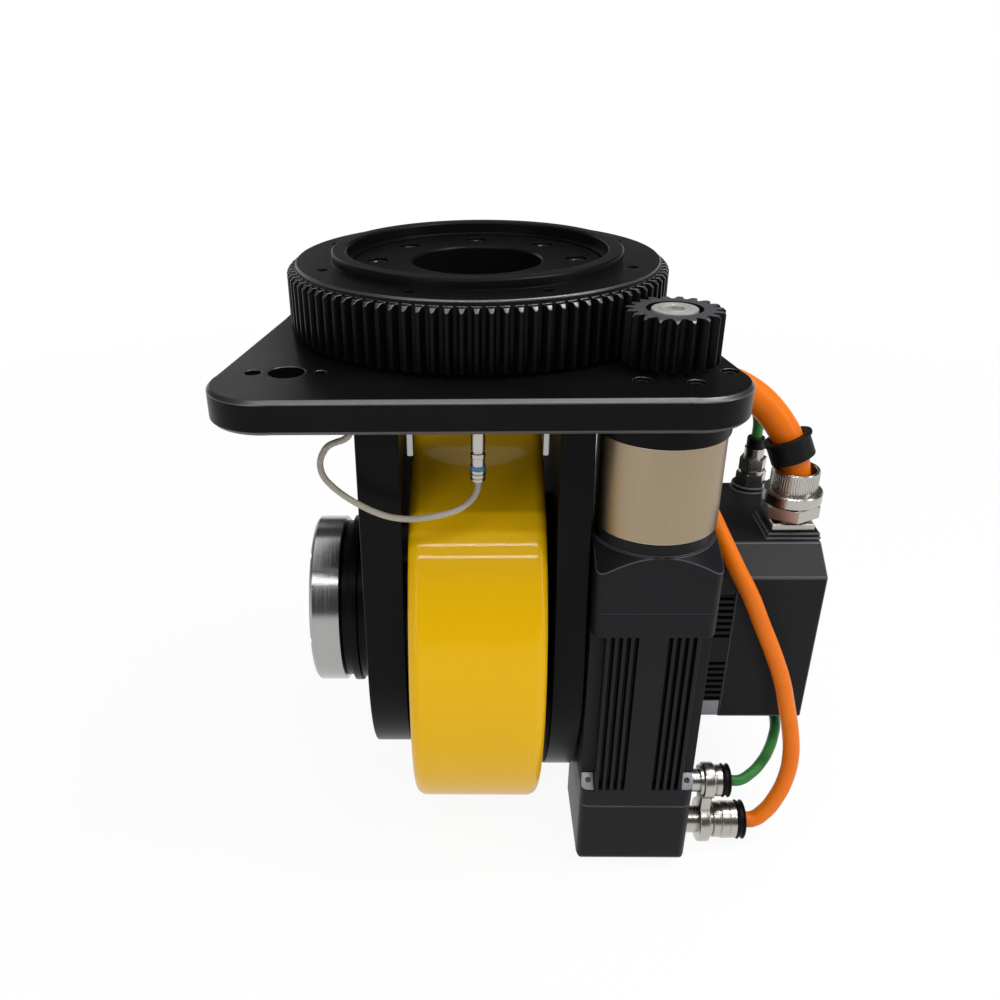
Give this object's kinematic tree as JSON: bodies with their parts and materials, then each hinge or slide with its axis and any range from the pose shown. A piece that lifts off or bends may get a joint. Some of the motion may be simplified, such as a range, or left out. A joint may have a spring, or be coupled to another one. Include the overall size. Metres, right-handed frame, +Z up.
{
  "type": "steered drive wheel unit",
  "caption": "Steered drive wheel unit for a floor vehicle: slewing ring and pinion over a turntable plate, yellow wheel between arms, in-line drive motor and upright steering motor with cables.",
  "frame": {"origin": "centre of the chassis mounting face of the slewing ring, on the swivel axis", "axes": "+Z up along the swivel axis, +X along the wheel's axle towards the drive motor, +Y to the rear"},
  "size_m": [0.3022, 0.2343, 0.3175],
  "materials": {
    "black_anodised": "satin black anodised",
    "motor_coat": "dark grey satin coat",
    "gearbox_champagne": "satin champagne anodised",
    "tyre_polyurethane": "glossy cast polyurethane",
    "hub_casting": "painted black",
    "turned_steel": "turned",
    "bearing_steel": "ground",
    "gear_steel": "machined",
    "black_screws": "black oxide",
    "zinc_screws": "zinc plated",
    "nickel_plate": "nickel plated",
    "black_rubber": "matt moulded",
    "orange_jacket": "smooth extruded jacket",
    "green_jacket": "smooth extruded jacket",
    "grey_jacket": "smooth extruded jacket",
    "blue_lens": "clear tinted"
  },
  "bodies": {
    "chassis_ring": {"ring_gear": "black_anodised"},
    "slew_ball_set": {"slew_balls": "bearing_steel"},
    "turntable": {"inner_ring": "black_anodised", "turntable_plate": "black_anodised", "left_arm": "black_anodised", "right_arm": "black_anodised", "bearing_flange": "black_anodised", "drive_motor_adapter": "black_anodised", "steer_nose": "black_anodised", "drive_motor_body": "motor_coat", "drive_motor_end_cap": "motor_coat", "steer_motor_adapter": "motor_coat", "steer_motor_body": "motor_coat", "steer_motor_end_cap": "motor_coat", "steer_gearbox_ring": "gearbox_champagne", "bearing_cap": "turned_steel", "plate_studs": "turned_steel", "axle_outer_race": "bearing_steel", "hub_outer_race": "bearing_steel", "drive_ring_gear": "gear_steel", "inner_ring_screws": "black_screws", "arm_screws": "black_screws", "bearing_cap_screws": "black_screws", "drive_adapter_screws": "black_screws", "gearbox_screws": "black_screws", "drive_motor_bolts": "zinc_screws", "steer_motor_bolts": "zinc_screws", "drive_power_connector": "nickel_plate", "drive_encoder_connector": "nickel_plate", "steer_connectors": "nickel_plate", "home_sensor": "nickel_plate", "cable_seals": "black_rubber", "cable_collar": "black_rubber", "cable_block": "black_rubber", "sensor_bush": "black_rubber", "drive_power_cable": "orange_jacket", "steer_power_cable": "orange_jacket", "drive_encoder_cable": "green_jacket", "steer_encoder_cable": "green_jacket", "sensor_cable": "grey_jacket", "sensor_light_ring": "blue_lens"},
    "pinion_drive": {"pinion": "black_anodised", "pinion_washer": "turned_steel", "pinion_bolt": "turned_steel", "pinion_shaft": "turned_steel"},
    "wheel": {"tyre": "tyre_polyurethane", "wheel_hub": "hub_casting", "stub_axle": "turned_steel", "axle_nut": "turned_steel", "hub_screws": "zinc_screws", "drive_carrier": "gear_steel", "axle_inner_race": "bearing_steel", "hub_inner_race": "bearing_steel"},
    "axle_ball_set": {"axle_balls": "bearing_steel"},
    "hub_ball_set": {"hub_balls": "bearing_steel"},
    "planet_1": {"drive_planet_1": "gear_steel"},
    "planet_2": {"drive_planet_2": "gear_steel"},
    "planet_3": {"drive_planet_3": "gear_steel"},
    "rotor": {"drive_rotor": "gear_steel"}
  },
  "joints": [
    {"name": "steer_swivel", "type": "hinge", "parent": "chassis_ring", "child": "turntable", "pos_m": [0, 0, 0], "axis": [0, 0, 1], "range_deg": [-120, 120]},
    {"name": "slew_ball_orbit", "type": "hinge", "parent": "chassis_ring", "child": "slew_ball_set", "pos_m": [0, 0, 0], "axis": [0, 0, 1], "range_deg": [-60, 60]},
    {"name": "pinion_spin", "type": "hinge", "parent": "turntable", "child": "pinion_drive", "pos_m": [0.08548, -0.07237, -0.02], "axis": [0, 0, 1], "continuous": true},
    {"name": "wheel_spin", "type": "hinge", "parent": "turntable", "child": "wheel", "pos_m": [0, 0, -0.198], "axis": [1, 0, 0], "continuous": true},
    {"name": "axle_ball_orbit", "type": "hinge", "parent": "turntable", "child": "axle_ball_set", "pos_m": [-0.066, 0, -0.198], "axis": [1, 0, 0], "continuous": true},
    {"name": "hub_ball_orbit", "type": "hinge", "parent": "turntable", "child": "hub_ball_set", "pos_m": [0.031, 0, -0.198], "axis": [1, 0, 0], "continuous": true},
    {"name": "rotor_spin", "type": "hinge", "parent": "turntable", "child": "rotor", "pos_m": [0.1, 0, -0.198], "axis": [1, 0, 0], "continuous": true},
    {"name": "planet_1_spin", "type": "hinge", "parent": "wheel", "child": "planet_1", "pos_m": [0.046, 0.02813, -0.198], "axis": [1, 0, 0], "continuous": true},
    {"name": "planet_2_spin", "type": "hinge", "parent": "wheel", "child": "planet_2", "pos_m": [0.046, -0.01406, -0.17364], "axis": [1, 0, 0], "continuous": true},
    {"name": "planet_3_spin", "type": "hinge", "parent": "wheel", "child": "planet_3", "pos_m": [0.046, -0.01406, -0.22236], "axis": [1, 0, 0], "continuous": true}
  ],
  "couplings": [
    {"joint": "slew_ball_orbit", "follows": "steer_swivel", "ratio": 0.4555},
    {"joint": "pinion_spin", "follows": "steer_swivel", "ratio": 4.8947},
    {"joint": "axle_ball_orbit", "follows": "wheel_spin", "ratio": 0.4028},
    {"joint": "hub_ball_orbit", "follows": "wheel_spin", "ratio": 0.4703},
    {"joint": "rotor_spin", "follows": "wheel_spin", "ratio": 5},
    {"joint": "planet_1_spin", "follows": "wheel_spin", "ratio": -2.6667},
    {"joint": "planet_2_spin", "follows": "wheel_spin", "ratio": -2.6667},
    {"joint": "planet_3_spin", "follows": "wheel_spin", "ratio": -2.6667}
  ]
}
